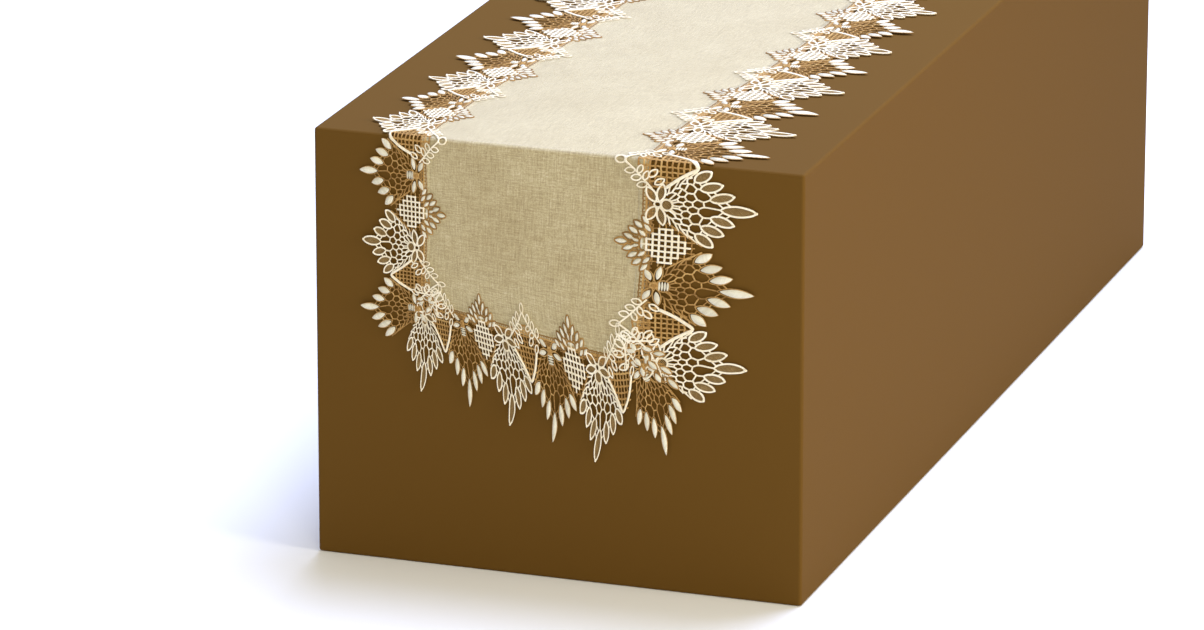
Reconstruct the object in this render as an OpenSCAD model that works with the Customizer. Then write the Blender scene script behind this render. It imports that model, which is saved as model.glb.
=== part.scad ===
// Lace-trimmed table runner, draped lengthwise over a low table.
// Frame: origin at the centre of the underside of the top span, +Z up,
// X across the width, Y along the length, front drop towards -Y.
// All lengths are in millimetres.

/* [Runner] */
// width of the plain linen between the two lace borders
linen_width = 230; // [180:1:300]
// how many lace fans lie along each side of the top span (even)
top_fans = 16; // [8:2:24]
// how many lace fans lie along each side of a hanging drop (odd)
drop_fans = 3; // [1:2:5]
// how far the linen runs on below the middle of the last side fan (negative: it stops short of it)
below_last_fan = -6; // [-20:1:20]
// how many lace fans lie across each end (even)
end_fans = 6; // [4:2:8]
// radius of the linen's corners at each end
corner_radius = 45; // [5:1:60]

/* [Lace border] */
// distance from one side fan to the next
fan_pitch = 78; // [60:0.1:100]
// distance from one end fan to the next
end_pitch = 46.4; // [40:0.1:60]
// outward tilt of the two end fans at the corners, in degrees
corner_tilt = 12; // [0:1:20]
// how far a side fan's tip stands out from the linen's edge
side_reach = 88; // [60:1:110]
// how far an end fan's tip hangs below the linen's edge
end_reach = 101.5; // [60:0.1:110]
// width of the lace's solid ground, measured out from the linen's edge
ground_out = 40; // [30:1:60]
// how far the lace's ground overlaps the linen
ground_in = 12; // [8:1:20]
// how far the leaf sprays reach in over the linen
spray_in = 30; // [15:1:40]

/* [Thicknesses] */
// linen cloth
linen_t = 0.6; // [0.4:0.1:1.2]
// turned edge of the linen
hem_t = 0.4; // [0.3:0.1:1]
// lace ground
ground_t = 0.8; // [0.5:0.1:1.5]
// raised motifs
motif_t = 0.8; // [0.5:0.1:2]
// padded satin leaves
pad_t = 0.7; // [0.4:0.1:2]
// gap kept at a fold so the hanging drop turns freely
fold_gap = 0.3; // [0.1:0.1:1]

/* [Fan] */
// centre of a fan's ring, out from the linen's edge
ring_out = 16; // [10:1:30]
// width of the turned edge
hem_width = 8; // [5:1:15]
// thickness of a raised outline between fans
arch_width = 3.6; // [2:0.1:6]

/* [Output] */
// which node to draw

/* [Hidden] */
$fn = 64;
half_w = linen_width / 2;
top_len = top_fans * fan_pitch;
half_l = top_len / 2;
drop_side = (drop_fans - 0.5) * fan_pitch + below_last_fan;
end_run = (end_fans - 1) * end_pitch;
z_hem = linen_t;
z_ground = z_hem + hem_t;
z_motif = z_ground + ground_t;
z_pad = z_motif + motif_t;
kx_end = end_pitch / fan_pitch;
kt_end = end_reach / side_reach;
// a fan's seven petals: angle, tip radius and length on a side fan
fan_a = [-44, -30, -15, 0, 15, 30, 44];
fan_r = [50, 52, 56, 72, 56, 52, 50];
fan_l = [17, 17, 18, 27, 18, 17, 17];
petal_w = 4.4;

linen_color = [0.86, 0.80, 0.68];
cream = [0.95, 0.91, 0.80];
tan_c = [0.64, 0.52, 0.34];
white_c = [0.96, 0.94, 0.88];

// ---- motifs, drawn with the linen's edge on the X axis and +Y outward ----
function k2(p, kx, kt) = [p[0] * kx, p[1] * kt];
function pol(r, a) = [r * sin(a), ring_out + r * cos(a)];
function side_pt(i, r, w) = pol(r, fan_a[i]) + w * [cos(fan_a[i]), -sin(fan_a[i])];

module fan_2d(kx, kt) {
  pts = concat(
    [[-4.2, ring_out - 4.6]],
    [for (i = [0:6]) each concat(
      [side_pt(i, fan_r[i] - 0.55 * fan_l[i], -petal_w)],
      [pol(fan_r[i], fan_a[i])],
      [side_pt(i, fan_r[i] - 0.55 * fan_l[i], petal_w)],
      i < 6 ? [pol(min(fan_r[i] - fan_l[i], fan_r[i + 1] - fan_l[i + 1]), (fan_a[i] + fan_a[i + 1]) / 2)] : []
    )],
    [[4.2, ring_out - 4.6]]
  );
  polygon([for (p = pts) k2(p, kx, kt)]);
}

module pads_2d(kx, kt) {
  for (i = [0:6]) {
    l = fan_l[i] * 0.86;
    polygon([for (p = [
      pol(fan_r[i] - 0.8, fan_a[i]),
      side_pt(i, fan_r[i] - 0.5 * l, 2.8),
      pol(fan_r[i] - l, fan_a[i]),
      side_pt(i, fan_r[i] - 0.5 * l, -2.8)
    ]) k2(p, kx, kt)]);
  }
}

module lattice_2d(kx, kt) {
  a = 19;
  c = 22;
  w = 3.3;
  difference() {
    polygon([for (p = [[a, c], [0, c + a], [-a, c], [0, c - a]]) k2(p, kx, kt)]);
    for (i = [-1:1], j = [-1:1]) {
      u = (i + j) * a / 3.3;
      v = (i - j) * a / 3.3;
      polygon([for (p = [[u + w, c + v], [u, c + v + w], [u - w, c + v], [u, c + v - w]]) k2(p, kx, kt)]);
    }
  }
}

module arch_2d(kx, kt) {
  w = arch_width;
  polygon([for (p = [
    [-24, 5.5], [-3, 41], [3, 41], [24, 5.5],
    [24 - w * 1.25, 5.5], [0, 38 - w * 0.6], [-24 + w * 1.25, 5.5]
  ]) k2(p, kx, kt)]);
}

// a peak of small leaves that lies in over the linen
module spray_2d(kx, kt) {
  s = spray_in;
  h = [[0, -s], [3.4, -s * 0.78], [8, -s * 0.80], [9, -s * 0.55], [14, -s * 0.55],
       [15, -s * 0.34], [20, -s * 0.30], [21, -s * 0.12], [25, -s * 0.06], [23, 0.5]];
  pts = concat(h, [for (i = [len(h) - 1:-1:1]) [-h[i][0], h[i][1]]]);
  polygon([for (p = pts) k2(p, kx, kt)]);
}

module flower_2d(kx, kt) {
  polygon([for (i = [0:9]) let (a = i * 36, r = i % 2 == 0 ? 7.8 : 4.4)
    k2([r * sin(a), 3 + r * cos(a)], kx, kt)]);
}

module motif(what, kx, kt) {
  if (what == "fan") fan_2d(kx, kt);
  if (what == "pads") pads_2d(kx, kt);
  if (what == "lattice") lattice_2d(kx, kt);
  if (what == "arch") arch_2d(kx, kt);
  if (what == "spray") spray_2d(kx, kt);
  if (what == "flower") flower_2d(kx, kt);
}

// one run of fans along X: every second station from the first one
module run_fans(what, n, pitch, first, step, kx, kt) {
  for (i = [first:step:n - 1]) translate([(i + 0.5) * pitch, 0]) motif(what, kx, kt);
}

// gaps between fans: every second gap from the first one
module run_gaps(what, n, pitch, first, kx, kt) {
  for (i = [first:2:n]) translate([i * pitch, 0]) motif(what, kx, kt);
}

// the top span's right border, from the front fold to the rear fold
module top_strip(what, fans, first, z, t) {
  translate([0, 0, z]) linear_extrude(t) intersection() {
    translate([half_w, -half_l]) rotate(90) mirror([0, 1])
      if (fans) run_fans(what, top_fans, fan_pitch, first, what == "flower" ? 1 : 2, 1, 1);
      else run_gaps(what, top_fans, fan_pitch, first, 1, 1);
    translate([0, -half_l]) square([half_w + side_reach + 20, top_len]);
  }
}

// the end's border, from right to left: fans, then the gaps between them
module end_run_fans(what, first, step, skip) {
  for (i = [first:step:end_fans - 1]) if (i >= skip && i < end_fans - skip)
    translate([i * end_pitch - end_run / 2, 0])
      translate([0, ring_out * kt_end])
        rotate(i == 0 ? corner_tilt : (i == end_fans - 1 ? -corner_tilt : 0))
          translate([0, -ring_out * kt_end]) motif(what, kx_end, kt_end);
}
module end_run_gaps(what, first) {
  for (i = [first:2:end_fans - 2])
    translate([(i + 0.5) * end_pitch - end_run / 2, 0]) motif(what, kx_end, kt_end);
}

// a hanging drop's border, drawn flat: X across, the fold on Y = 0, hanging to -Y
module drop_strip(what, fans, sel) {
  // right side, from the fold down
  translate([half_w, 0]) rotate(-90)
    if (fans) run_fans(what, drop_fans, fan_pitch, sel == "tan" ? 1 : 0, sel == "any" ? 1 : 2, 1, 1);
    else run_gaps(what, drop_fans - 1, fan_pitch, sel == "arch" ? 0 : 1, 1, 1);
  // left side, from the fold down
  translate([-half_w, 0]) rotate(-90) mirror([0, 1])
    if (fans) run_fans(what, drop_fans, fan_pitch, sel == "cream" ? 1 : 0, sel == "any" ? 1 : 2, 1, 1);
    else run_gaps(what, drop_fans - 1, fan_pitch, sel == "arch" ? 0 : 1, 1, 1);
  // bottom, from right to left
  translate([0, -drop_side]) rotate(180)
    if (fans) end_run_fans(what, sel == "cream" ? 1 : 0, sel == "any" ? 1 : 2, sel == "any" ? 1 : 0);
    else end_run_gaps(what, sel == "arch" ? 0 : 1);
}

// stand a flat drop up against the fold: hangs down at the front
module hang() {
  translate([0, -half_l, 0]) rotate([90, 0, 0]) children();
}

module drop_motifs(what, fans, sel, z, t) {
  hang() translate([0, 0, z]) linear_extrude(t) intersection() {
    drop_strip(what, fans, sel);
    translate([-half_w - side_reach - 20, -drop_side - end_reach - 20])
      square([linen_width + 2 * side_reach + 40, drop_side + end_reach + 20 - fold_gap]);
  }
}

module rear() { rotate(180) children(); }

// a drop's outline with rounded lower corners, grown by g
module drop_outline(g) {
  r = corner_radius + g;
  cx = half_w - corner_radius;
  cy = -drop_side + corner_radius;
  translate([-half_w - g, cy]) square([linen_width + 2 * g, -fold_gap - cy]);
  translate([-cx, -drop_side - g]) square([2 * cx, drop_side + g - fold_gap]);
  for (s = [-1, 1]) translate([s * cx, cy]) circle(r);
}

module drop_band(g_in, g_out) {
  difference() {
    drop_outline(g_out);
    difference() {
      drop_outline(g_in);
      translate([-500, -fold_gap - 0.001]) square([1000, 1]);
    }
    translate([-half_w - g_in, -fold_gap - 1]) square([linen_width + 2 * g_in, 2]);
  }
}

// ---- nodes ----
module top_linen() color(linen_color)
  translate([-half_w, -half_l, 0]) cube([linen_width, top_len, linen_t]);
module front_linen() color(linen_color)
  hang() linear_extrude(linen_t) drop_outline(0);
module rear_linen() rear() front_linen();

module top_hem_right() color(linen_color)
  translate([half_w - hem_width, -half_l, z_hem]) cube([hem_width, top_len, hem_t]);
module top_hem_left() rear() top_hem_right();
module front_hem() color(linen_color)
  hang() translate([0, 0, z_hem]) linear_extrude(hem_t) drop_band(-hem_width, 0);
module rear_hem() rear() front_hem();

module top_ground_right() color(tan_c)
  translate([half_w - ground_in, -half_l, z_ground]) cube([ground_in + ground_out, top_len, ground_t]);
module top_ground_left() rear() top_ground_right();
module front_ground() color(tan_c)
  hang() translate([0, 0, z_ground]) linear_extrude(ground_t) drop_band(-ground_in, ground_out);
module rear_ground() rear() front_ground();

module top_cream_fans_right() color(cream) top_strip("fan", true, 1, z_motif, motif_t);
module top_cream_fans_left() rear() top_cream_fans_right();
module front_cream_fans() color(cream) drop_motifs("fan", true, "cream", z_motif, motif_t);
module rear_cream_fans() rear() front_cream_fans();

module top_tan_fans_right() color(tan_c) top_strip("fan", true, 0, z_motif, motif_t);
module top_tan_fans_left() rear() top_tan_fans_right();
module front_tan_fans() color(tan_c) drop_motifs("fan", true, "tan", z_motif, motif_t);
module rear_tan_fans() rear() front_tan_fans();

module top_fan_pads_right() color(white_c) top_strip("pads", true, 0, z_pad, pad_t);
module top_fan_pads_left() rear() top_fan_pads_right();
module front_fan_pads() color(white_c) drop_motifs("pads", true, "tan", z_pad, pad_t);
module rear_fan_pads() rear() front_fan_pads();

module top_lattices_right() color(cream) top_strip("lattice", false, 1, z_motif, motif_t);
module top_lattices_left() rear() top_lattices_right();
module front_lattices() color(cream) drop_motifs("lattice", false, "lattice", z_motif, motif_t);
module rear_lattices() rear() front_lattices();

module top_arches_right() color(cream) top_strip("arch", false, 0, z_motif, motif_t);
module top_arches_left() rear() top_arches_right();
module front_arches() color(cream) drop_motifs("arch", false, "arch", z_motif, motif_t);
module rear_arches() rear() front_arches();

module top_cream_sprays_right() color(cream) top_strip("spray", false, 0, z_motif, motif_t);
module top_cream_sprays_left() rear() top_cream_sprays_right();
module front_cream_sprays() color(cream) drop_motifs("spray", false, "arch", z_motif, motif_t);
module rear_cream_sprays() rear() front_cream_sprays();

module top_tan_sprays_right() color(tan_c) top_strip("spray", false, 1, z_motif, motif_t);
module top_tan_sprays_left() rear() top_tan_sprays_right();
module front_tan_sprays() color(tan_c) drop_motifs("spray", false, "lattice", z_motif, motif_t);
module rear_tan_sprays() rear() front_tan_sprays();

module top_flowers_right() color(white_c) top_strip("flower", true, 0, z_motif, motif_t);
module top_flowers_left() rear() top_flowers_right();
module front_flowers() color(white_c) drop_motifs("flower", true, "any", z_motif, motif_t);
module rear_flowers() rear() front_flowers();

top_linen();
front_linen();
rear_linen();
top_hem_right();
top_hem_left();
front_hem();
rear_hem();
top_ground_right();
top_ground_left();
front_ground();
rear_ground();
top_cream_fans_right();
top_cream_fans_left();
front_cream_fans();
rear_cream_fans();
top_tan_fans_right();
top_tan_fans_left();
front_tan_fans();
rear_tan_fans();
top_fan_pads_right();
top_fan_pads_left();
front_fan_pads();
rear_fan_pads();
top_lattices_right();
top_lattices_left();
front_lattices();
rear_lattices();
top_arches_right();
top_arches_left();
front_arches();
rear_arches();
top_cream_sprays_right();
top_cream_sprays_left();
front_cream_sprays();
rear_cream_sprays();
top_tan_sprays_right();
top_tan_sprays_left();
front_tan_sprays();
rear_tan_sprays();
top_flowers_right();
top_flowers_left();
front_flowers();
rear_flowers();
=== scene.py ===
import bpy, math
import numpy as np
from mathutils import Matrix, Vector


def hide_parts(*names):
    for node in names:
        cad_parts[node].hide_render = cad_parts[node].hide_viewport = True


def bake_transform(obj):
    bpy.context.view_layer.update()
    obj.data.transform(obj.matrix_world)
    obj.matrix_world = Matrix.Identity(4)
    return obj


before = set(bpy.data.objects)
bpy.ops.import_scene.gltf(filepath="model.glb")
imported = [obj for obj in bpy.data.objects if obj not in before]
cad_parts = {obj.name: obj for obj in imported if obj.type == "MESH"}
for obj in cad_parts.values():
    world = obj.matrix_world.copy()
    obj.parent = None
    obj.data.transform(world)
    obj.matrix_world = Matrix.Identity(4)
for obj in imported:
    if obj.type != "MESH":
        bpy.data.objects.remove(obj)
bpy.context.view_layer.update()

# A lace-edged linen runner over a table. Each end is made flat, in mm, from mid-span to its tip, and
# drape() then lays it over the table in metres. The rear end is the front one turned half way round, with
# small waves of its own.

# ---------------------------------------------------------------- sizes (mm)
HALF_W = 115.0        # half the linen's width
EDGE_W = 113.0        # the line the motifs are set out from
REACH = 88.0          # how far the side lace reaches beyond the linen
PITCH = 78.0          # side fan to side fan
FOLD = 8 * PITCH      # middle of the top span to a fold, eight side fans away
DROP = 2.5 * PITCH - 6     # linen below a fold
END = FOLD + DROP     # middle to the linen's end
EDGE_E = END - 2      # the line the end's motifs are set out from
END_PITCH = 46.4      # end fan to end fan
RING = 18.0           # a fan's ring, out from the line it is set out from
R_FOLD = 3.6          # the fold's inside radius
CORNER = 45.0         # radius of the linen's corners
LINEN_T = 0.7         # the linen's thickness
H_LACE = 1.15         # height of the lace's cords above the cloth's underside
HEM_W = 8.0           # width of the turned hem
TABLE_W, TABLE_H = 0.498, 0.434    # the block the runner lies over, in metres

# ---------------------------------------------------------------- how the cloth lies (mm)
SKEW = 0.085          # how far the drop hangs askew, as a slope at the linen's end
NARROW = 0.025        # how much of its width it loses down to there
SPREAD = 6.0          # how far the lace's outer edges lie further to the right on a drop
OFF = 32.0            # how far the cloth's centre line lies off the lace's middle near a fold
LONG_AT, LONG_BY = 75.0, 9.5       # the end lace is longest here, by this much
RIDE_LEFT, RIDE_RIGHT = 18.0, 7.0  # how far it rides up at the two corners
WIGGLE = 0.9          # irregularity of the hand-made lace
KX, KT = END_PITCH / PITCH, 103.5 / 90.0    # the end's motifs are narrower and longer than the sides'

# ---------------------------------------------------------------- smooth noise and the drape
NOISE_N = 64          # cells of each noise table, each way
rng = np.random.default_rng(11)
TABLES = [rng.uniform(-1, 1, (NOISE_N, NOISE_N)) for _ in range(6)]     # three for each end


def noise(x, y, k):
    """Smooth value noise from -1 to 1, in table k."""
    t = TABLES[k]
    xi, yi = np.floor(x).astype(int), np.floor(y).astype(int)
    fx, fy = x - xi, y - yi
    fx, fy = fx * fx * (3 - 2 * fx), fy * fy * (3 - 2 * fy)

    def row(j):
        return t[xi % NOISE_N, (yi + j) % NOISE_N] * (1 - fx) + t[(xi + 1) % NOISE_N, (yi + j) % NOISE_N] * fx

    return row(0) * (1 - fy) + row(1) * fy


def smooth(x, a, b):
    """0 below a and 1 above b, with a smooth step between them."""
    t = np.clip((x - a) / (b - a), 0, 1)
    return t * t * (3 - 2 * t)


def drape(P, end):
    """Flat cloth to the draped runner in metres.

    P is (u across, d from mid-span towards this end, h above the underside), in mm.
    end is 0 at the front and 1 at the rear.
    """
    u, d, h = P[:, 0].copy(), P[:, 1].copy(), P[:, 2].copy()
    k = 3 * end
    meet = smooth(np.abs(d), 8, 90)      # the two halves are alike where they meet at mid-span
    out = smooth(np.maximum(np.abs(u) - HALF_W, d - END), 0, 40) * meet
    # the end lace is uneven: it rides up at both corners and is longest right of the middle
    ride = (RIDE_LEFT * smooth(-u, -50, 130) * (1 - 0.7 * smooth(-u, 130, 200))
            + RIDE_RIGHT * smooth(u, 85, 125))
    d += smooth(d, END - 90, END + 60) * (LONG_BY * np.exp(-((u - LONG_AT) / 35) ** 2) - ride)
    # the drop hangs a little askew: longer at the right, and drawn in towards the bottom
    b = np.maximum(d - FOLD, 0) / DROP
    u, d = (u * (1 - NARROW * b) - 0.5 * SKEW * DROP * b * b,
            d - 1.5 * b + SKEW * b * np.minimum(u, HALF_W + 4))
    # the lace spreads a little more on its right side than on its left
    u += SPREAD * smooth(b, 0, 0.6) * (u / (HALF_W + REACH)) ** 2
    # the linen lies off the lace's middle near the fold: the border is wider on one side than on the other
    near = smooth(np.abs(d), 150, FOLD - 60) * (1 - 0.8 * smooth(d, END - 60, END + 90))
    u -= OFF * near * np.clip(1 - (u / (HALF_W + REACH)) ** 2, 0, 1)
    # a hand-made border is never quite regular
    u += out * WIGGLE * noise(u / 26 + 7, d / 26, k) + 0.5 * meet * noise(u / 90, d / 70 + 3, k)
    d += out * WIGGLE * noise(u / 26, d / 26 + 9, k)
    # over the fold; n is the height above the table, along the surface's normal
    start = FOLD - R_FOLD
    arc = R_FOLD * math.pi / 2
    ang = np.clip((d - start) / R_FOLD, 0, math.pi / 2)
    below = np.maximum(d - start - arc, 0)
    hang = smooth(below, 0, 260)
    # the cloth lies a little off the table, the drop hangs in soft waves, and the lace's tips curl
    lift = 0.15 + 0.28 * (1 + meet * noise(u / 60 + 2, d / 85, k + 1)) * smooth(np.abs(d - FOLD), 2, 60)
    wave = hang * (1.6 + 1.5 * np.sin(u / 47.0 + 0.6 + end) + 1.1 * noise(u / 45, d / 60 + 5, k + 2))
    far = smooth(np.maximum(np.abs(u) - HALF_W, d - END), 20, 90)
    curl = out * (0.5 + 0.9 * noise(u / 17 + 11, d / 17, k + 2)) * far
    n = h + lift + np.maximum(wave, 0) + np.maximum(curl, -0.2)
    y = -np.minimum(d, start) - R_FOLD * np.sin(ang) - n * np.sin(ang)
    z = -R_FOLD + R_FOLD * np.cos(ang) - below + n * np.cos(ang)
    turn = -1 if end else 1
    return np.stack([turn * u, turn * y, z], 1) / 1000


# ---------------------------------------------------------------- a bag of faces, flat until it is draped
class Bag:
    """Vertices (s, t, h) with a thread coordinate (along, around, shade), and four-sided faces."""

    def __init__(self):
        self.v, self.c, self.f, self.n = [], [], [], 0

    def add(self, v, c, f):
        self.v.append(v)
        self.c.append(c)
        self.f.append(np.asarray(f, int) + self.n)
        self.n += len(v)

    def arrays(self):
        if not self.v:
            return np.zeros((0, 3)), np.zeros((0, 3)), np.zeros((0, 4), int)
        return np.concatenate(self.v), np.concatenate(self.c), np.concatenate(self.f)


def new_bags():
    """Cream cords, tan cords, white padded leaves, sheer fill threads and square tan net."""
    return [Bag() for _ in range(5)]


def resample(p, step, closed=False):
    """Points every step or less along the line through p."""
    p = np.asarray(p, float)
    if closed:
        p = np.vstack([p, p[:1]])
    seg = np.linalg.norm(np.diff(p, axis=0), axis=1)
    s = np.concatenate([[0], np.cumsum(seg)])
    n = max(2, int(math.ceil(s[-1] / step)) + 1)
    x = np.linspace(0, s[-1], n)
    q = np.stack([np.interp(x, s, p[:, i]) for i in range(p.shape[1])], 1)
    return q[:-1] if closed else q


def catmull(p, closed=False, n=4):
    """A smooth curve through p, with n points for each span."""
    p = np.asarray(p, float)
    if len(p) < 3:
        return p
    q = np.vstack([p[-1], p, p[0], p[1]]) if closed else np.vstack([2 * p[0] - p[1], p, 2 * p[-1] - p[-2]])
    out = []
    for i in range(len(q) - 3):
        a, b, c, d = q[i:i + 4]
        for k in range(n):
            t = k / n
            out.append(0.5 * (2 * b + (c - a) * t + (2 * a - 5 * b + 4 * c - d) * t * t
                              + (3 * b - a - 3 * c + d) * t ** 3))
    if not closed:
        out.append(p[-1])
    return np.array(out)


def unit(v):
    return v / np.linalg.norm(v)


def normals(path, closed=False):
    """The tangent and the right-hand normal at each point of a path."""
    tan = np.roll(path, -1, 0) - np.roll(path, 1, 0) if closed else np.gradient(path, axis=0)
    tan /= np.maximum(np.linalg.norm(tan, axis=1), 1e-9)[:, None]
    return tan, np.stack([tan[:, 1], -tan[:, 0]], 1)


def tube_faces(n, k, closed=False):
    """Faces along a tube of n rings, each of k points."""
    i = np.arange(n if closed else n - 1)
    j = (i + 1) % n
    a = np.arange(k)
    b = (a + 1) % k
    i, j = i[:, None] * k, j[:, None] * k
    return np.stack([i + a, j + a, j + b, i + b], -1).reshape(-1, 4)


CAP6 = np.array([[0, 1, 2, 3], [0, 3, 4, 5]])     # closes a ring of six; the first face closes a ring of four
SHADE = np.random.default_rng(5)     # each cord and pad draws its own shade


def cord(bag, pts, w, h0=0.0, closed=False, curve=True, step=2.6, sides=6, flat=0.72, dark=0.0):
    """A stitched cord of width w along pts (s, t), lying at height h0, with rounded ends.

    flat is its height over its width, and dark moves its shade towards the dark end.
    """
    p = catmull(pts, closed) if curve else np.asarray(pts, float)
    p = resample(p, step, closed)
    n = len(p)
    tan, nor = normals(p, closed)
    r = np.full(n, w / 2)
    if not closed:         # one more ring at each end, small and a little further out
        p = np.vstack([p[0] - tan[0] * r[0] * 0.45, p, p[-1] + tan[-1] * r[-1] * 0.45])
        nor = np.vstack([nor[0], nor, nor[-1]])
        r = np.concatenate([[r[0] * 0.25], r, [r[-1] * 0.25]])
        n += 2
    k = np.arange(sides) * 2 * math.pi / sides + math.pi / sides
    ring = np.stack([np.cos(k), np.sin(k)], 1)
    v = np.zeros((n, sides, 3))
    v[:, :, :2] = p[:, None, :] + nor[:, None, :] * (ring[None, :, :1] * r[:, None, None])
    v[:, :, 2] = h0 + (ring[None, :, 1] + 0.3) * r[:, None] * flat
    s = np.concatenate([[0], np.cumsum(np.linalg.norm(np.diff(p, axis=0), axis=1))])
    c = np.zeros((n, sides, 3))
    c[:, :, 0] = s[:, None]
    c[:, :, 1] = k[None, :]
    c[:, :, 2] = SHADE.uniform() - dark
    f = tube_faces(n, sides, closed)[:, ::-1]
    if not closed:
        cap = CAP6 if sides == 6 else CAP6[:1]
        f = np.vstack([f, cap, (cap + (n - 1) * sides)[:, ::-1]])
    bag.add(v.reshape(-1, 3), c.reshape(-1, 3), f)


def axes(base, tip):
    """The base, the unit vectors along and across, and the length of a leaf from base to tip."""
    base, tip = np.asarray(base, float), np.asarray(tip, float)
    L = np.linalg.norm(tip - base)
    ax = (tip - base) / L
    return base, ax, np.array([ax[1], -ax[0]]), L


def pad(bag, base, tip, w, h0=0.0, high=1.1):
    """A padded satin leaf from base to tip: crowned on top, nearly flat underneath."""
    base, ax, nr, L = axes(base, tip)
    nu, nv = 11, 7         # points along and across
    x = 0.5 - 0.5 * np.cos(np.linspace(0, math.pi, nu))
    half = w / 2 * np.maximum(np.sin(math.pi * x), 0.02) ** 0.66
    g = np.linspace(-1, 1, nv)
    rise = high * np.sqrt(np.clip(1 - g ** 2, 0, 1))
    top, low = np.zeros((2, nu, nv, 3))
    for layer, up in ((top, 1.0), (low, -0.25)):
        layer[:, :, :2] = base + ax * (x[:, None, None] * L) + nr * (half[:, None, None] * g[None, :, None])
        layer[:, :, 2] = h0 + up * rise[None, :] * (half / (w / 2))[:, None] ** 0.6
    c = np.zeros((nu, nv, 3))
    c[:, :, 0] = (x * L)[:, None] + g[None, :] * w * 0.22
    c[:, :, 1] = 3.0
    c[:, :, 2] = SHADE.uniform()
    v = np.concatenate([top.reshape(-1, 3), low.reshape(-1, 3)])
    c = np.concatenate([c.reshape(-1, 3)] * 2)
    f = []
    m = nu * nv
    for i in range(nu - 1):
        for j in range(nv - 1):
            q = [i * nv + j, (i + 1) * nv + j, (i + 1) * nv + j + 1, i * nv + j + 1]
            f.append(q[::-1])
            f.append([k + m for k in q])
    for i in range(nv - 1):
        f.append([i, i + 1, i + 1 + m, i + m][::-1])
        k = m - nv + i
        f.append([k, k + 1, k + 1 + m, k + m])
    bag.add(v, c, f)


LEAF_LEAN = 0.94       # under 1, a leaf's widest place lies nearer its base than its tip


def leaf_outline(base, tip, w, n, blunt):
    """A pointed oval from base to tip, with n points on each side; a small blunt makes it fuller."""
    base, ax, nr, L = axes(base, tip)
    x = np.linspace(0, 1, n)
    half = w / 2 * np.sin(math.pi * x ** LEAF_LEAN) ** blunt
    mid = base + ax * L * x[:, None]
    return np.vstack([mid + nr * half[:, None], (mid - nr * half[:, None])[-2:0:-1]])


def fill(bag, base, tip, w, step=1.5, width=0.55, h0=-0.1):
    """Fine threads that cross a leaf loop both ways."""
    base, ax, nr, L = axes(base, tip)
    t = np.linspace(-w / 2, w / 2, 21)
    for sgn in (-1, 1):
        for x0 in np.arange(-w / 2 + step, L + w / 2, step):
            x = x0 + t * sgn * 0.9
            half = w / 2 * np.sin(math.pi * np.clip(x / L, 0, 1) ** LEAF_LEAN) ** 0.8
            i = np.flatnonzero((x > 0) & (x < L) & (np.abs(t) < half))
            if len(i) < 3:
                continue
            p = [base + ax * x[k] + nr * t[k] for k in (i[0], i[-1])]
            cord(bag, p, width, h0 + 0.12 * sgn, curve=False, step=99, sides=4, flat=0.8)


# ---------------------------------------------------------------- the motifs, on the linen's edge
# (s, t) in mm: s runs along the edge and t outwards from it. A fan's petals, ring and ribs are measured
# from its ring. Cords in a motif lie at their own small heights, so that crossing ones don't share a face.
PET_TIP = np.array([[-35.6, 36.4], [-23.7, 45.4], [-13.5, 54.0], [0, 71.0],
                    [13.5, 54.0], [23.7, 45.4], [35.6, 36.4]])
PET_BASE = np.array([[-25.1, 23.3], [-18.3, 27.9], [-9.0, 35.6], [0, 43.6],
                     [9.0, 35.6], [18.3, 27.9], [25.1, 23.3]])
RING_OUT = np.array([[-5.0, 1.8], [-4.1, 3.4], [-2.4, 4.7], [0, 5.3], [2.4, 4.7], [4.1, 3.4], [5.0, 1.8]])
EDGE_RIB = np.array([[17.0, 0.5], [36.2, 28.5]])       # the fan's edge, and the rib next to it
NEXT_RIB = np.array([[9.5, -0.2], [28.4, 21.2]])
MID = 3                # the middle petal of seven
DARK = 0.55            # how much darker the tan spray's cords are, so that they show on the linen
FLOWER = (((-2.4, 8.6), (-15.5, 1.2), 7.6), ((2.4, 8.6), (15.5, 1.2), 7.6),        # four loose petals
          ((-2.8, 11.6), (-19.5, 15.0), 7.0), ((2.8, 11.6), (19.5, 15.0), 7.0))    # (base, tip, width)
HEART = (0, 10.3)      # the flower's centre


def at(p):
    """From a fan's ring to its motif's (s, t)."""
    return np.asarray(p, float) + [0, RING]


def circle(c, rx, ry):
    return [(c[0] + rx * math.sin(k), c[1] + ry * math.cos(k)) for k in np.linspace(0, 2 * math.pi, 13)[:-1]]


def loop(bag, base, tip, w, width, h0=0.0, n=10, blunt=0.65, step=2.0, dark=0.0):
    """A leaf-shaped loop of cord."""
    cord(bag, leaf_outline(base, tip, w, n, blunt), width, h0, closed=True, curve=False, step=step, dark=dark)


def heading(x, y, deg):
    """A point, and the unit vector that points deg degrees round from +t towards +s."""
    k = math.radians(deg)
    return np.array([x, y], float), np.array([math.sin(k), math.cos(k)])


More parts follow.
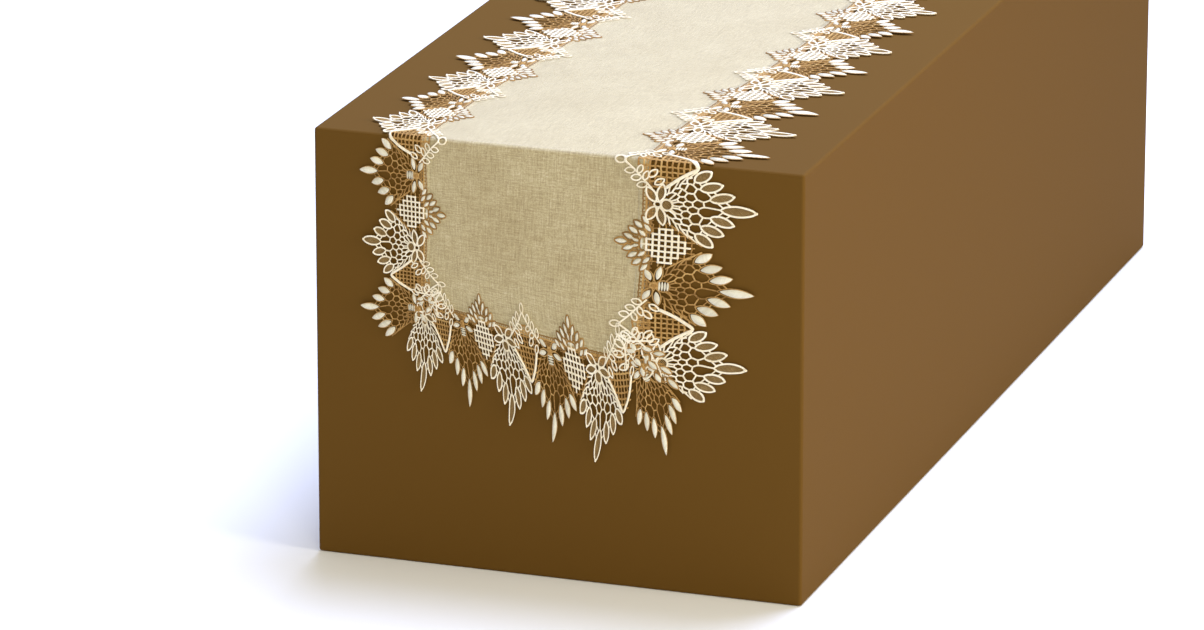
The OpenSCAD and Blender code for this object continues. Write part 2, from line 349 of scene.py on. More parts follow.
def net(bag, w_rib, w_bar, zig=1.4, rim=0.0):
    """Ribs from the ring to each petal, bent towards the bars that join them, so that cells are six-sided.

    w_rib and w_bar are cord widths, zig is how far a rib bends, and rim is the width of the fan's two
    edges, if any.
    """
    ribs = [np.array([RING_OUT[i], PET_BASE[i]]) for i in range(7)]
    cols = [EDGE_RIB * [-1, 1], NEXT_RIB * [-1, 1]] + ribs + [NEXT_RIB, EDGE_RIB]
    last = len(cols) - 1
    hits = [[] for _ in cols]      # where bars meet each rib: (share of its length, side)
    bars = []
    for c in range(last):
        if c in (0, last - 1):
            rows = [(f, f) for f in (0.08, 0.34, 0.60, 0.86)]
        else:
            if c in (1, last - 2):
                radii = (14.5, 21.5, 29.0)
            else:
                radii = (11.0, 18.0, 26.5, 36.0) if c % 2 else (14.5, 22.0, 31.0, 41.5)
            lo, hi = np.linalg.norm([cols[c], cols[c + 1]], axis=2).T
            rows = [tuple((r - lo) / (hi - lo)) for r in radii]
            rows = [f for f in rows if max(f) < 0.97]
        for fa, fb in rows:
            bars.append((c, fa, fb))
            hits[c].append((fa, 1))
            hits[c + 1].append((fb, -1))
    spot = {}
    for i, (foot, top) in enumerate(cols):
        _, _, nr, _ = axes(foot, top)
        pts = [foot]
        for f, sgn in sorted(hits[i]):
            q = foot + (top - foot) * f + nr * sgn * (zig * min(1, 0.25 + f) if 0 < i < last else 0)
            spot[(i, f, sgn)] = q
            pts.append(q)
        pts.append(top)
        if 0 < i < last:
            cord(bag, at(pts), w_rib, step=2.0)
        elif rim:
            cord(bag, at(pts), rim, step=4.0)
    for c, fa, fb in bars:
        a, b = spot[(c, fa, 1)], spot[(c + 1, fb, -1)]
        out = unit(b - a) * 0.8
        cord(bag, at([a - out * (c == 0), b + out * (c == last - 1)]), w_bar, curve=False, step=4)


def mesh_fill(bag, inside, lo, hi, g, w, step=2.5, h0=0.0, dark=0.5):
    """A square net of pitch g, cut to the region where inside(points) is true."""
    for k in (0, 1):
        for x in np.arange(lo[k] + 0.5 * g, hi[k], g):
            run = np.arange(lo[1 - k], hi[1 - k], 0.6)
            p = np.stack([np.full_like(run, x), run], 1)
            p[:, 0] += 0.3 * np.sin(run * 0.9 + x)
            if k:
                p = p[:, ::-1]
            ok = np.concatenate([[False], inside(p), [False]]).astype(int)
            edge = np.flatnonzero(np.diff(ok))
            for a, b in zip(edge[::2], edge[1::2]):
                if b - a > 4:
                    cord(bag, p[a:b], w, h0 + 0.1 * k, curve=False, step=step, dark=dark)


def bridges(bag, w, f, side_off, mid_off):
    """Short cords between neighbouring petals, a share f of the way along them; the middle petal is wider."""
    for i in range(6):
        p, q = (PET_BASE[k] * (1 - f) + PET_TIP[k] * f for k in (i, i + 1))
        m = unit(q - p)
        ends = [p + m * (mid_off if i == MID else side_off), q - m * (mid_off if i + 1 == MID else side_off)]
        cord(bag, at(ends), w, curve=False, step=4)


def cream_fan():
    """Seven filled petal loops round an open net, with a ring and a flower at its root."""
    cream, _, _, sheer, _ = bags = new_bags()
    for i in range(7):
        b, t = at(PET_BASE[i]), at(PET_TIP[i])
        w = 9.4 if i == MID else 8.6
        loop(cream, b, t, w, 1.9, n=12, blunt=0.58)
        cord(cream, [t + (t - b) * 0.015, t - (t - b) * 0.05], 2.9, 0.15, curve=False, step=3)
        fill(sheer, b, t, w - 1)
    net(cream, 1.65, 1.5)
    bridges(cream, 1.4, 0.15, 2.7, 2.9)
    bridges(cream, 1.5, 0.45, 4.0, 5.6)
    cord(cream, circle((0, RING), 5.3, 5.0), 2.0, 0.1, closed=True, step=2.2)
    cord(cream, circle(HEART, 2.7, 3.0), 1.7, 0.25, closed=True, step=1.8)
    for b, t, w in FLOWER:
        loop(cream, b, t, w, 1.8, 0.1, blunt=0.7, step=2.2)
        fill(sheer, b, t, w - 1, step=1.7)
    fill(sheer, (0, RING - 4.6), (0, RING + 4.6), 9.0, step=1.7)
    return bags


def tan_fan():
    """The same fan in fine tan thread, with seven padded leaves for its petals."""
    _, tan, white, _, _ = bags = new_bags()
    for i in range(7):
        b, t = at(PET_BASE[i]), at(PET_TIP[i])
        ax = unit(t - b)
        pad(white, b + (t - b) * 0.06, t, 7.8, 0.15, 1.5)
        loop(tan, b - ax, t + ax * 0.3, 8.9, 1.0, blunt=0.8, step=2.6)
    net(tan, 1.45, 1.3, rim=1.2)
    bridges(tan, 1.1, 0.15, 2.9, 3.0)
    bridges(tan, 1.1, 0.40, 4.5, 5.4)
    for k in range(4):     # the striped bead at the root of the fan
        t = RING - 3.4 + 2.3 * k
        pad(white, (-4.6, t), (4.6, t), 2.0, 0.25, 0.9)
    cord(tan, circle((0, RING), 5.6, 5.4), 1.2, closed=True, step=2.2)
    cord(tan, circle(HEART, 2.6, 3.4), 2.2, 0.2, closed=True, step=1.8)
    cord(tan, [(0, 8.6), (0, 12.0)], 3.4, 0.1, curve=False, step=3)
    for b, t, w in FLOWER:
        b, t = np.array(b), np.array(t)
        pad(white, b + (t - b) * 0.2, t - (t - b) * 0.06, w - 2.2, 0.15, 1.1)
        loop(tan, b, t, w, 1.1, blunt=0.7, step=2.4)
    return bags


def lattice_gap():
    """Cream square lattice, with a tan spray of small padded leaves over the linen."""
    cream, tan, white, _, _ = bags = new_bags()
    g = 5.3                # the lattice's pitch
    line = [(k - 3) * g for k in range(7)], [1.5 + k * g for k in range(7)]     # its cords, in s and in t
    first = (2, 1, 0, 0, 0, 1, 2)     # each cord runs from this line to the same one from the other side
    for k in range(7):     # along t
        a, b = line[1][first[k]], line[1][6 - first[k]]
        over = 4.5 if k == 3 else 0.8
        cord(cream, [(line[0][k], a - over), (line[0][k], b + over)], 1.9, 0.55, curve=False, step=2.7)
    for k in range(7):     # along s
        a, b = line[0][first[k]], line[0][6 - first[k]]
        cord(cream, [(a - 0.8, line[1][k]), (b + 0.8, line[1][k])], 1.9, 0.5, curve=False, step=2.7)

    def inside(p):
        """The fine tan net it is worked on, out to the fans on both sides."""
        a, t = np.abs(p[:, 0]), p[:, 1]
        reach = np.minimum(21.0 - 0.12 * np.abs(t - 18), 21.8 - 0.686 * (t - 18.5))
        return (a < reach) & (t > -1 + 0.1 * a) & (t < 41)

    mesh_fill(tan, inside, (-4.5 * g, 1.5 - 0.5 * g), (24, 46), g, 1.15, step=3.2, dark=0.0)
    for s in (-1, 1):
        cord(tan, [(s * 22.0, RING + 0.5), (s * 12.4, RING + 14.5), (s * 2.8, RING + 28.5)], 1.5, step=4)
        cord(tan, [(s * 20, 2), (s * 12, -0.5), (s * 5, -4), (0, -13)], 1.1, step=3)
    leaves = [((0, -15.5), (0, -25.5), 5.4), ((3.6, -9.5), (7.4, -18.0), 5.0),
              ((9.2, -6.2), (14.2, -13.6), 5.2), ((15.2, -2.6), (20.6, -9.0), 5.0),
              ((1.9, -5.2), (3.6, -11.0), 4.0), ((7.4, 0.6), (12.4, -5.2), 4.6),
              ((12.6, 4.6), (18.6, -0.6), 4.8), ((19.4, 3.2), (26.0, -2.2), 4.8)]
    for b, t, w in leaves:
        for s in ((1,) if b[0] == 0 else (-1, 1)):
            b2, t2 = np.array([b[0] * s, b[1]]), np.array([t[0] * s, t[1]])
            pad(white, b2, t2, w - 1.2, 0.25, 1.1)
            ax = unit(t2 - b2)
            loop(tan, b2 - ax * 1.4, t2 + ax * 1.3, w + 1.9, 1.45, blunt=0.8, step=2.4, dark=DARK)
    cord(tan, [(0, -14), (0, -3)], 1.5, curve=False, step=3, dark=DARK)
    for s in (-1, 1):
        stem = [(0, -12.5), (s * 3, -8.5), (s * 9, -4.5), (s * 15.5, -1.2), (s * 21, 3)]
        cord(tan, stem, 1.5, step=3, dark=DARK)
        cord(tan, [(0, -6), (s * 4, -3.6), (s * 9, -0.6)], 1.3, step=3, dark=DARK)
    pad(white, (-5.2, -2.6), (5.2, -2.6), 2.4, 0.3, 0.9)
    return bags


def arch_gap():
    """Tan mesh inside a thick cream arch, with a cream spray of leaf loops over the linen.

    The cream fan is at +s and the tan fan at -s.
    """
    cream, tan, _, _, mesh = bags = new_bags()
    arch = [(22.5, 17.5), (13.0, 28.5), (5.0, 40.0), (2.2, 44.0),
            (-0.8, 42.6), (-3.6, 38.5), (-9.6, 29.4), (-15.5, 16.5)]
    cord(cream, arch, 3.2, 0.3, step=2.2)

    def inside(p):
        s, t = p[:, 0], p[:, 1]
        under = t < np.minimum(44.0 - (s - 2.2) * 1.32, 44.0 + (s - 1.0) * 1.55)
        return under & (t > -9 + np.abs(s) * 0.62) & (s < 24) & (s > -22)

    mesh_fill(mesh, inside, (-24, -14), (26, 46), 4.9, 1.7, dark=-0.1)
    for tie in (((-21.0, 20.0), (-14.2, 20.8)), ((-16.2, 27.0), (-10.6, 28.2)),     # to the tan fan beside it
                ((-11.3, 34.0), (-6.6, 34.8)), ((-6.6, 41.0), (-2.4, 41.2))):
        cord(tan, tie, 1.5, curve=False, step=4)
    # the spray: an upside-down V of stems with leaf loops
    for s in (-1, 1):
        stem = [(s * 24.5, 5.5), (s * 15, -3.0), (s * 6.5, -10.9), (s * 0.4, -18.7)]
        cord(cream, stem, 1.75, 0.7, step=2.6)
        for b, t, w, width, h0 in (
                ((20.5, 1.4), (23.0, -7.5), 5.6, 1.5, 0.65), ((14.4, -3.8), (16.4, -12.7), 5.8, 1.5, 0.65),
                ((8.4, -9.2), (9.8, -18.3), 5.6, 1.5, 0.65), ((17.0, -1.4), (8.2, 2.0), 4.8, 1.5, 0.65),
                ((11.0, -6.4), (2.8, -3.1), 4.6, 1.5, 0.65), ((13.5, 3.0), (6.2, 10.0), 5.4, 1.6, 0.9),
                ((20.0, 8.0), (14.5, 16.0), 5.0, 1.6, 0.9)):
            loop(cream, (s * b[0], b[1]), (s * t[0], t[1]), w, width, h0, n=8)
    loop(cream, (0, -17.5), (0, -27.5), 5.8, 1.6, 0.3, n=9)
    return bags


def corner_bits(full=True):
    """The gathered lace at the corner: loops inwards, padded leaves outwards, and fewer leaves if not full.

    t runs out along the corner's diagonal. Each leaf is (s, t, heading in degrees, length, width).
    """
    cream, tan, white, _, _ = bags = new_bags()
    leaves = ((-7, 1, -28, 9, 4.6), (6, 3, 18, 9, 4.4), (-10, 12, -46, 10, 4.4), (0, 14, 4, 11, 4.8),
              (9, 13, 40, 10, 4.4), (-4, 26, -14, 11, 4.6), (5, 27, 22, 10, 4.6), (0.5, 39, 2, 12, 5.0),
              (-3, -9, 20, 8, 4.6), (5, -8, -30, 8, 4.4))
    for x, y, deg, L, w in leaves if full else leaves[:2] + leaves[8:]:
        b, d = heading(x, y, deg)
        pad(white, b, b + d * L, w, 0.9, 1.2)
        loop(tan, b - d * 1.2, b + d * (L + 1.2), w + 2.2, 1.3, 0.75, blunt=0.8, step=2.4)
    for x, y, deg, L, w in ((-11, -7, -150, 11, 6.4), (-4, -11, -172, 12, 6.6), (4, -11, 170, 12, 6.6),
                            (11, -7, 148, 11, 6.4), (-16, 2, -118, 10, 6), (16, 2, 118, 10, 6)):
        b, d = heading(x, y, deg)
        loop(cream, b, b + d * L, w, 1.7, 0.8, n=9)
    for s in (-1, 1):
        cord(cream, [(s * 20, 3), (s * 12, -4), (s * 4, -12), (0, -25)], 1.8, 0.8, step=2.6)
    return bags


def edge_net():
    """A narrow tan net along the linen's edge behind a flower, in motif coordinates."""
    *_, mesh = bags = new_bags()

    def inside(p):
        a, t = np.abs(p[:, 0]), p[:, 1]
        return (t > -2.5) & (t < 8.5 - 0.1 * a) & (a < 21)

    mesh_fill(mesh, inside, (-22, -4), (22, 12), 3.6, 1.3, step=3.5, h0=-0.25)
    return bags


def corner_net():
    """Tan net between the linen's rounded corner and the fans, drawn straight in flat (u, d)."""
    *_, mesh = bags = new_bags()

    def inside(p):
        u, d = p[:, 0], p[:, 1]
        away = np.hypot(np.maximum(u - HALF_W + CORNER, 0), np.maximum(d - END + CORNER, 0)) - CORNER
        core = (away > -3) & (u < EDGE_W + 8) & (d < EDGE_E + 8) & (u > 62) & (d > END - CORNER - 8)
        out = (u + d - EDGE_W - EDGE_E) / 2
        wedge = (np.abs(u - EDGE_W - d + EDGE_E) < 15 - 0.25 * np.maximum(out, 0)) & (out > -4) & (out < 25)
        return core | wedge

    mesh_fill(mesh, inside, (60, END - 66), (150, END + 34), 4.4, 1.6)
    return bags


# ---------------------------------------------------------------- set the motifs round one half of the runner
def place(parts, m, out):
    """Adds a motif's bags to out. m maps local (s, t) to flat (u, d), and says if that flips the faces."""
    for (v, c, f), dest in zip(parts, out):
        if not len(v):
            continue
        (u, d), flip = m(v[:, 0], v[:, 1])
        dest.add(np.stack([u, d, v[:, 2] + H_LACE], 1), c, f[:, ::-1] if flip else f)


def arrays(bags):
    return [b.arrays() for b in bags]


# in this order, since each cord draws its shade when it is made
CREAM, TAN = arrays(cream_fan()), arrays(tan_fan())
LATTICE, ARCH = arrays(lattice_gap()), arrays(arch_gap())
CORNER_BITS = {1: arrays(corner_bits()), -1: arrays(corner_bits(full=False))}     # the right and left corners
EDGE_NET = arrays(edge_net())


def side(sign, d0, turn):
    """On a long side: sign is +1 at the right, turn is +1 if local +s runs towards the end."""
    def m(s, t):
        return (sign * (EDGE_W + t), d0 + turn * s), sign * turn < 0
    return m


def across(u0, turn, tilt=0.0):
    """On the end: turn is +1 if local +s runs towards +u. tilt swings the motif about its ring."""
    c, sn = math.cos(math.radians(tilt)), math.sin(math.radians(tilt))

    def m(s, t):
        x, y = turn * s * KX, (t - RING) * KT
        x, y = x * c + y * sn, -x * sn + y * c
        return (u0 + x, EDGE_E + y + RING * KT), turn > 0
    return m


def diagonal(sign):
    """At the end's corner: local t runs out along its diagonal."""
    c = math.sqrt(0.5)

    def m(s, t):
        return (sign * (EDGE_W - 4 + c * (t - 0.9 * s)), EDGE_E - 4 + c * (t + 0.9 * s)), sign > 0
    return m


def straight(sign):
    """A net that is already drawn in flat (u, d), at the right."""
    def m(s, t):
        return (sign * s, t), sign < 0
    return m


def half():
    """The border of one end, from mid-span to the tip."""
    out = new_bags()
    drop, top = range(3), range(-1, -9, -1)    # a side's fans, numbered from the fold
    for sign in (1, -1):
        def fan(i):
            """The first one below the fold is cream at the right and tan at the left."""
            return CREAM if (i % 2 == 0) == (sign > 0) else TAN

        for i in [*drop, *top]:
            place(fan(i), side(sign, FOLD + PITCH * (i + 0.5), 1), out)
            if i < 2:                          # the last one sits in the corner, which has a net of its own
                place(EDGE_NET, side(sign, FOLD + PITCH * (i + 0.5), 1), out)
        for g in range(-8, 3):                 # the gaps, each just above fan g; even ones are arches
            if g == -8 and sign < 0:
                continue                       # the other half brings the one at mid-span
            if g % 2 == 0:
                place(ARCH, side(sign, FOLD + PITCH * g, 1 if fan(g) is CREAM else -1), out)
            else:
                place(LATTICE, side(sign, FOLD + PITCH * g, 1), out)
    tilts = {0: 16, 5: -6}                     # the two that are next to the corners
    for i in range(6):                         # the end, from right to left
        u0 = (2.5 - i) * END_PITCH
        place(CREAM if i % 2 else TAN, across(u0, 1, tilts.get(i, 0)), out)
        if i not in tilts:
            place(EDGE_NET, across(u0, 1), out)
    for i in range(5):
        u0 = (2 - i) * END_PITCH
        if i % 2:
            place(LATTICE, across(u0, 1), out)
        else:                                  # tan fan to its right, cream fan to its left
            place(ARCH, across(u0, -1), out)
    for sign in (1, -1):
        place(CORNER_BITS[sign], diagonal(sign), out)
        place(arrays(corner_net()), straight(sign), out)
    return out


HALF = arrays(half())


# ---------------------------------------------------------------- materials
def srgb(*rgb):
    """A colour given as 0 to 255 in sRGB, as Blender's linear one."""
    return (*(c / 255 / 12.92 if c / 255 <= 0.04045 else ((c / 255 + 0.055) / 1.055) ** 2.4 for c in rgb), 1)


BANDS = 0.314          # the pitch of a wave texture's bands at a scale of 1


class Nodes:
    """Short calls for building one material's node tree."""

    def __init__(self, name, rough, sheen=0.0, tint=(1, 1, 1, 1)):
        self.mat = bpy.data.materials.new(name)
        self.mat.use_nodes = True
        self.t = self.mat.node_tree
        self.bsdf = self.t.nodes["Principled BSDF"]
        self.bsdf.inputs["Roughness"].default_value = rough
        self.bsdf.inputs["Sheen Weight"].default_value = sheen
        self.bsdf.inputs["Sheen Roughness"].default_value = 0.45
        self.bsdf.inputs["Sheen Tint"].default_value = tint
        self.bsdf.inputs["Specular IOR Level"].default_value = 0.3

    def node(self, kind, **settings):
        n = self.t.nodes.new(kind)
        for k, v in settings.items():
            setattr(n, k, v)
        return n

    def link(self, a, b):
        self.t.links.new(a, b)

    def attribute(self, name):
        return self.node("ShaderNodeAttribute", attribute_name=name).outputs["Vector"]

    def mapping(self, vec, scale, loc=(0, 0, 0)):
        n = self.node("ShaderNodeMapping")
        n.inputs["Scale"].default_value = scale
        n.inputs["Location"].default_value = loc
        self.link(vec, n.inputs["Vector"])
        return n.outputs[0]

    def noise(self, vec, scale, loc=(0, 0, 0), detail=3.0, rough=0.6):
        """Noise with scale cells per mm, in two directions."""
        n = self.node("ShaderNodeTexNoise")
        n.inputs["Scale"].default_value = 1.0
        n.inputs["Detail"].default_value = detail
        n.inputs["Roughness"].default_value = rough
        self.link(self.mapping(vec, (*scale, 1), loc), n.inputs["Vector"])
        return n.outputs["Fac"]

    def wave(self, vec, scale, axis, distort, dscale):
        n = self.node("ShaderNodeTexWave", wave_type="BANDS", bands_direction=axis, wave_profile="SIN")
        n.inputs["Scale"].default_value = scale
        n.inputs["Distortion"].default_value = distort
        n.inputs["Detail Scale"].default_value = dscale
        self.link(vec, n.inputs["Vector"])
        return n.outputs["Fac"]

    def feed(self, socket, x):
        """Links x to a socket, or sets it there if it is a plain value."""
        if isinstance(x, (int, float, tuple)):
            socket.default_value = x
        else:
            self.link(x, socket)

    def math(self, op, a, b):
        n = self.node("ShaderNodeMath", operation=op)
        self.feed(n.inputs[0], a)
        self.feed(n.inputs[1], b)
        return n.outputs[0]

    def blend_of(self, *parts):
        """The sum of parts, each (value, weight)."""
        first, *rest = [self.math("MULTIPLY", x, k) for x, k in parts]
        for x in rest:
            first = self.math("ADD", first, x)
        return first

    def ramp(self, fac, stops):
        n = self.node("ShaderNodeValToRGB")
        cr = n.color_ramp
        while len(cr.elements) < len(stops):
            cr.elements.new(0.5)
        for el, (p, c) in zip(cr.elements, stops):
            el.position, el.color = p, c
        self.link(fac, n.inputs[0])
        return n.outputs["Color"]

    def darken(self, fac, a, b):
        """Colour a multiplied by colour b, by a share fac."""
        n = self.node("ShaderNodeMix", data_type="RGBA", blend_type="MULTIPLY")
        for i, x in ((0, fac), (6, a), (7, b)):
            self.feed(n.inputs[i], x)
        return n.outputs[2]

    def bump(self, height, strength, distance):
        n = self.node("ShaderNodeBump")
        n.inputs["Strength"].default_value = strength
        n.inputs["Distance"].default_value = distance
        self.link(height, n.inputs["Height"])
        self.link(n.outputs[0], self.bsdf.inputs["Normal"])

    def colour(self, c):
        self.link(c, self.bsdf.inputs["Base Color"])


def linen_material():
    """A plain weave of uneven yarns, across and along the cloth."""
    m = Nodes("linen_weave", 0.88, 0.7, (1.0, 0.99, 0.96, 1))
    v = m.attribute("flat")                                              # (across, along, 0) in mm
    slub_a = m.noise(v, (0.80, 0.035), detail=4, rough=0.7)              # thick and thin yarns that run along
    slub_b = m.noise(v, (0.040, 0.85), (5, 3, 0), detail=4, rough=0.7)   # and across
    yarn_a = m.noise(v, (1.5, 0.05), (2, 8, 0), detail=2)                # tone of single threads
    yarn_b = m.noise(v, (0.05, 1.5), (7, 1, 0), detail=2)
    fleck = m.noise(v, (0.5, 0.5), (9, 1, 0), detail=5, rough=0.75)
    cloud = m.noise(v, (0.012, 0.012), detail=2, rough=0.5)
    slub = m.math("MULTIPLY", m.math("ADD", slub_a, slub_b), 0.5)
    yarn = m.math("MULTIPLY", m.math("ADD", yarn_a, yarn_b), 0.5)
    base = m.ramp(m.blend_of((slub, 0.40), (yarn, 0.30), (fleck, 0.30)), [
        (0.38, srgb(132, 115, 80)), (0.46, srgb(170, 154, 115)), (0.50, srgb(185, 170, 130)),
        (0.54, srgb(199, 186, 149)), (0.62, srgb(220, 211, 180))])
    # over and under: a soft chequer of thread crossings, with painted shade in the pores between them
    fine_a = m.wave(v, 0.34, "X", 0.9, 0.25)
    fine_b = m.wave(v, 0.34, "Y", 0.9, 0.25)
    over = m.math("MULTIPLY", fine_a, fine_b)
    under = m.math("MULTIPLY", m.math("SUBTRACT", 1.0, fine_a), m.math("SUBTRACT", 1.0, fine_b))
    grid = m.math("ADD", over, under)
    # painted shade: the colour is darkened in the pores between the threads
    base = m.darken(0.6, base, m.ramp(grid, [(0.10, srgb(168, 158, 138)), (0.55, srgb(255, 255, 255))]))
    m.colour(m.darken(0.8, base, m.ramp(cloud, [(0.3, srgb(238, 234, 226)), (0.7, srgb(255, 255, 255))])))
    m.bump(m.blend_of((grid, 0.9), (slub, 1.6)), 0.55, 0.0005)
    return m.mat


def thread_material(name, dark, mid, light, rough=0.62, sheen=0.45, pitch=0.62):
    """Stitched thread: wraps across each cord, pitch mm apart, painted shade in their grooves, and small
    changes of colour.
    """
    m = Nodes(name, rough, sheen, (1, 0.97, 0.9, 1))
    sep = m.node("ShaderNodeSeparateXYZ")
    m.link(m.attribute("thread"), sep.inputs[0])           # (along in mm, around, shade)
    along, shade = sep.outputs[0], sep.outputs[2]
    own = m.node("ShaderNodeCombineXYZ")                   # (along, a row of the cord's own)
    m.link(along, own.inputs[0])
    m.link(m.math("MULTIPLY", shade, 37.0), own.inputs[1])
    wraps = m.wave(own.outputs[0], BANDS / pitch, "X", 0.8, 1.5)
    streak = m.noise(own.outputs[0], (0.35, 1))
    soil = m.noise(m.attribute("flat"), (0.05, 0.05))
    tone = m.blend_of((streak, 0.55), (soil, 0.25), (shade, 0.2))
    base = m.ramp(tone, [(0.33, dark), (0.5, mid), (0.66, light)])
    # painted shade: the colour is darkened in the grooves between the wraps
    groove_shade = m.ramp(wraps, [(0.0, srgb(214, 204, 188)), (0.4, srgb(255, 255, 255))])
    m.colour(m.darken(0.7, base, groove_shade))
    m.bump(wraps, 0.5, 0.0003)
    return m.mat


LINEN = linen_material()
CREAM_THREAD = thread_material("cream_thread", srgb(226, 213, 184), srgb(241, 231, 207), srgb(250, 244, 227))
TAN_THREAD = thread_material("tan_thread", srgb(128, 94, 44), srgb(170, 130, 70), srgb(196, 160, 100),
                             rough=0.75, sheen=0.04)
WHITE_THREAD = thread_material("white_satin_thread", srgb(200, 194, 173), srgb(217, 212, 192),
                               srgb(231, 227, 209), rough=0.5, sheen=0.5, pitch=0.5)
SHEER_THREAD = thread_material("sheer_thread", srgb(138, 110, 64), srgb(160, 131, 82), srgb(182, 155, 106),
                               rough=0.75, sheen=0.05)


# ---------------------------------------------------------------- meshes
def make(name, P, F, end, mat, thread=None):
    """One mesh piece from flat points and four-sided faces, draped over its end of the table."""
    me = bpy.data.meshes.new(name)
    me.vertices.add(len(P))
    me.vertices.foreach_set("co", drape(P, end).astype(np.float32).ravel())
    me.loops.add(4 * len(F))
    me.loops.foreach_set("vertex_index", F.ravel().astype(np.int32))
    me.polygons.add(len(F))
    me.polygons.foreach_set("loop_start", np.arange(0, 4 * len(F), 4, dtype=np.int32))
    me.update(calc_edges=True)
    me.validate()
    flat = P * (-1 if end else 1) * [1, 1, 0]
    for attribute, values in (("flat", flat), ("thread", thread)):     # what the materials are laid out on
        if values is not None:
            layer = me.attributes.new(attribute, "FLOAT_VECTOR", "POINT")
            layer.data.foreach_set("vector", values.astype(np.float32).ravel())
    me.polygons.foreach_set("use_smooth", np.ones(len(me.polygons), bool))
    me.set_sharp_from_angle(angle=math.radians(62))
    o = bpy.data.objects.new(name, me)
    bpy.context.collection.objects.link(o)
    o.data.materials.append(mat)
    return o


def rows(before, after, stop, far, near):
    """Distances from mid-span to stop: every far mm, then every 1 mm round the fold, then every near mm."""
    return np.concatenate([np.arange(0, FOLD - before, far), np.arange(FOLD - before, FOLD + after, 1.0),
                           np.arange(FOLD + after, stop, near)])


def round_edge(off, n, far, before, after, near):
    """Along the linen's edge, off mm outside it: from mid-span at the right, round the end, and back."""
    x, e, r = HALF_W + off, END + off, CORNER + off
    p = [(x, d) for d in rows(before, after, e - r, far, near)]
    p += [(x - r + r * math.cos(k), e - r + r * math.sin(k)) for k in np.linspace(0, math.pi / 2, n)]
    p = np.array(p + [(u, e) for u in np.arange(x - r - 5, 0, -5.0)])
    return np.vstack([p, p[::-1] * [-1, 1]])


def cloth_sheet():
    """The linen's half as a thin closed sheet: rounded corners at the end, finer rows at the fold."""
    d = np.concatenate([rows(14, 12, END - CORNER, 6.0, 4.0),
                        END - CORNER + CORNER * np.sin(np.linspace(0, math.pi / 2, 9))])
    g = np.linspace(-1, 1, 58)
    over = np.clip(d - (END - CORNER), 0, CORNER)
    wid = HALF_W - CORNER + np.sqrt(np.maximum(CORNER ** 2 - over ** 2, 0.3))
    P = np.zeros((2, len(d), len(g), 3))
    P[:, :, :, 0] = wid[:, None] * g[None, :]
    P[:, :, :, 1] = d[:, None]
    P[0, :, :, 2] = LINEN_T
    m = len(d) * len(g)
    idx = np.arange(m).reshape(len(d), len(g))
    q = np.stack([idx[:-1, :-1], idx[1:, :-1], idx[1:, 1:], idx[:-1, 1:]], -1).reshape(-1, 4)
    rim = np.concatenate([idx[0], idx[1:, -1], idx[-1, -2::-1], idx[-2:0:-1, 0]])
    nx = np.roll(rim, -1)
    walls = np.stack([rim, nx, nx + m, rim + m], -1)
    return P.reshape(-1, 3), np.vstack([q, q[:, ::-1] + m, walls[:, ::-1]])


def hem_and_stitches():
    """The turned edge under the lace, and the running stitches that hold it."""
    hem, stitch = Bag(), Bag()
    path = round_edge(0, 9, 6.0, 10, 12, 5.0)
    _, nor = normals(path)
    nor *= np.where((nor * (path - [0, 300])).sum(1) > 0, 1, -1)[:, None]     # they all point outwards
    profile = [(0.25, -0.05), (0.25, LINEN_T + 0.3), (-0.6, LINEN_T + 0.5), (-HEM_W + 0.6, LINEN_T + 0.5),
               (-HEM_W, LINEN_T + 0.1), (-HEM_W, LINEN_T - 0.2)]
    n, k = len(path), len(profile)
    v = np.zeros((n, k, 3))
    for j, (o, h) in enumerate(profile):
        v[:, j, :2] = path + nor * o
        v[:, j, 2] = h
    f = np.vstack([tube_faces(n, k), CAP6[:, ::-1], CAP6 + (n - 1) * k])
    hem.add(v.reshape(-1, 3), np.zeros((n * k, 3)), f)
    line = resample(path - nor * (HEM_W - 1.6), 1.0)
    for i in range(2, len(line) - 4, 6):
        cord(stitch, [line[i], line[i + 3]], 0.7, LINEN_T + 0.45, curve=False, step=2, sides=4, flat=0.6)
    return hem.arrays(), stitch.arrays()


def lace_footing():
    """Two fine tan cords that run along the linen's edge."""
    tan = Bag()
    for off, w in ((-1.4, 1.5), (1.6, 1.3)):
        cord(tan, round_edge(off, 7, 5.0, 6, 9, 4.0), w, H_LACE - 0.1, curve=False, step=3.0)
    return tan.arrays()


sheet_P, sheet_F = cloth_sheet()
(hem_v, _, hem_f), (stitch_v, stitch_c, stitch_f) = hem_and_stitches()
foot_v, foot_c, foot_f = lace_footing()
LACE = (("cream_cords", CREAM_THREAD), ("tan_cords", TAN_THREAD), ("satin_leaves", WHITE_THREAD),
        ("sheer_fill", SHEER_THREAD), ("tan_square_net", TAN_THREAD))

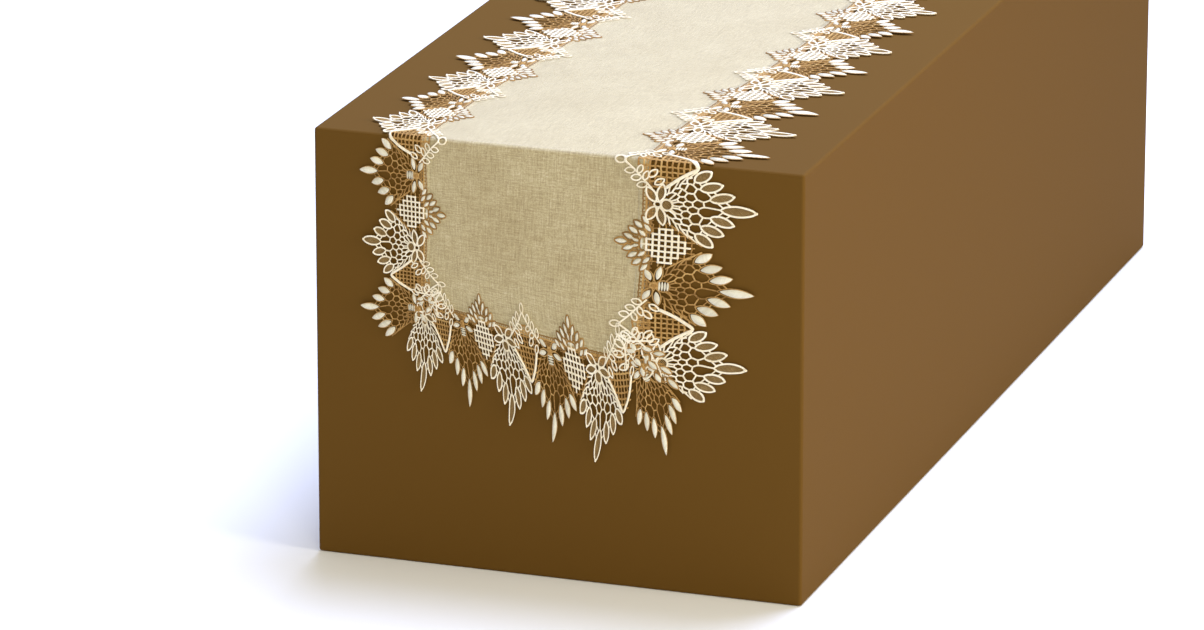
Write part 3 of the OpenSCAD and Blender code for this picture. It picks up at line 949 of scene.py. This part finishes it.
for end, tag, sgn in ((0, "front", -1), (1, "rear", 1)):
    def stands_for(*kinds):
        """The CAD nodes of these kinds on the top and on this drop."""
        return [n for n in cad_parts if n.startswith(("top_", tag)) and any(k in n for k in kinds)]

    linen = make(tag + "_linen_cloth", sheet_P, sheet_F, end, LINEN)
    hem = make(tag + "_turned_hem", hem_v, hem_f, end, LINEN)
    stitch = make(tag + "_hem_stitches", stitch_v, stitch_f, end, LINEN, stitch_c)
    lace = [make(tag + "_lace_" + name, v, f, end, mat, c) for (v, c, f), (name, mat) in zip(HALF, LACE)]
    cream, tan, white, sheer, mesh = lace
    foot = make(tag + "_lace_footing", foot_v, foot_f, end, TAN_THREAD, foot_c)
    for o, slot, nodes in (
            (linen, "linen", stands_for("linen")), (hem, "linen", stands_for("hem")), (stitch, "linen", []),
            (cream, "cream_thread", stands_for("cream", "lattices", "arches")),
            (tan, "tan_thread", stands_for("tan")), (white, "white_thread", stands_for("pads", "flowers")),
            (sheer, "tan_thread", []), (mesh, "tan_thread", stands_for("ground")), (foot, "tan_thread", [])):
        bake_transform(o)
        if nodes:
            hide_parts(*nodes)
    print(tag, "tris", {o.name: 2 * len(o.data.polygons) for o in [linen, hem, stitch, foot] + lace})


# ---------------------------------------------------------------- stage: floor, a plain block, and lights
def plain(name, colour, rough):
    m = bpy.data.materials.new(name)
    m.use_nodes = True
    b = m.node_tree.nodes["Principled BSDF"]
    b.inputs["Base Color"].default_value = colour
    b.inputs["Roughness"].default_value = rough
    b.inputs["Specular IOR Level"].default_value = 0.12
    return m


bpy.ops.mesh.primitive_plane_add(size=60, location=(0, 0, -TABLE_H))
floor = bpy.context.object
floor.name = "stage_floor"
floor.data.materials.append(plain("stage_floor", (0.82, 0.81, 0.79, 1), 0.7))
bpy.ops.mesh.primitive_cube_add(size=1, location=(0, 0, -TABLE_H / 2))
block = bpy.context.object
block.name = "stage_block"
block.scale = (TABLE_W, 2 * FOLD / 1000, TABLE_H)
bpy.ops.object.transform_apply(scale=True)
bevel = block.modifiers.new("bevel", "BEVEL")
bevel.width, bevel.segments = 0.003, 3
block.data.materials.append(plain("stage_block", srgb(92, 64, 20), 0.9))


def aim(o, location, along):
    """Puts a camera or light at location, looking along a vector."""
    o.location = location
    o.rotation_mode = "QUATERNION"
    o.rotation_quaternion = along.to_track_quat("-Z", "Y")
    bpy.context.collection.objects.link(o)


def area(name, location, target, size, power, colour):
    light = bpy.data.lights.new(name, "AREA")
    light.shape, light.size, light.energy, light.color = "DISK", size, power, colour
    aim(bpy.data.objects.new(name, light), location, Vector(target) - Vector(location))


area("light_top", (0.3, 0.9, 3.2), (0, 0, 0), 2.4, 188, (0.86, 1.0, 1.52))
area("light_front", (1.1, -3.3, 1.1), (0, -0.6, -0.1), 1.8, 38, (1.0, 0.92, 0.64))
area("light_right", (3.4, -1.0, 0.9), (0, -0.3, -0.1), 1.6, 95, (1.0, 0.92, 0.72))

world = bpy.data.worlds.new("studio")
bpy.context.scene.world = world
world.use_nodes = True
sky = world.node_tree.nodes["Background"]
sky.inputs["Color"].default_value = (0.95, 0.95, 0.96, 1)
sky.inputs["Strength"].default_value = 0.55
bpy.context.scene.view_settings.view_transform = "Standard"

# ---------------------------------------------------------------- camera, at the photo's viewing angle
AZ, EL = math.radians(19.12), math.radians(17.66)
LENS, DISTANCE = 232.3, 7.4656                       # in mm and in metres
target = Vector((0.0459, -FOLD / 1000, -0.1598))
back = Vector((math.sin(AZ) * math.cos(EL), -math.cos(AZ) * math.cos(EL), math.sin(EL)))
cam_data = bpy.data.cameras.new("camera")
cam_data.sensor_width, cam_data.lens = 36.0, LENS
cam_data.clip_start, cam_data.clip_end = 0.1, 100
cam = bpy.data.objects.new("camera", cam_data)
aim(cam, target + back * DISTANCE, -back)
bpy.context.scene.camera = cam
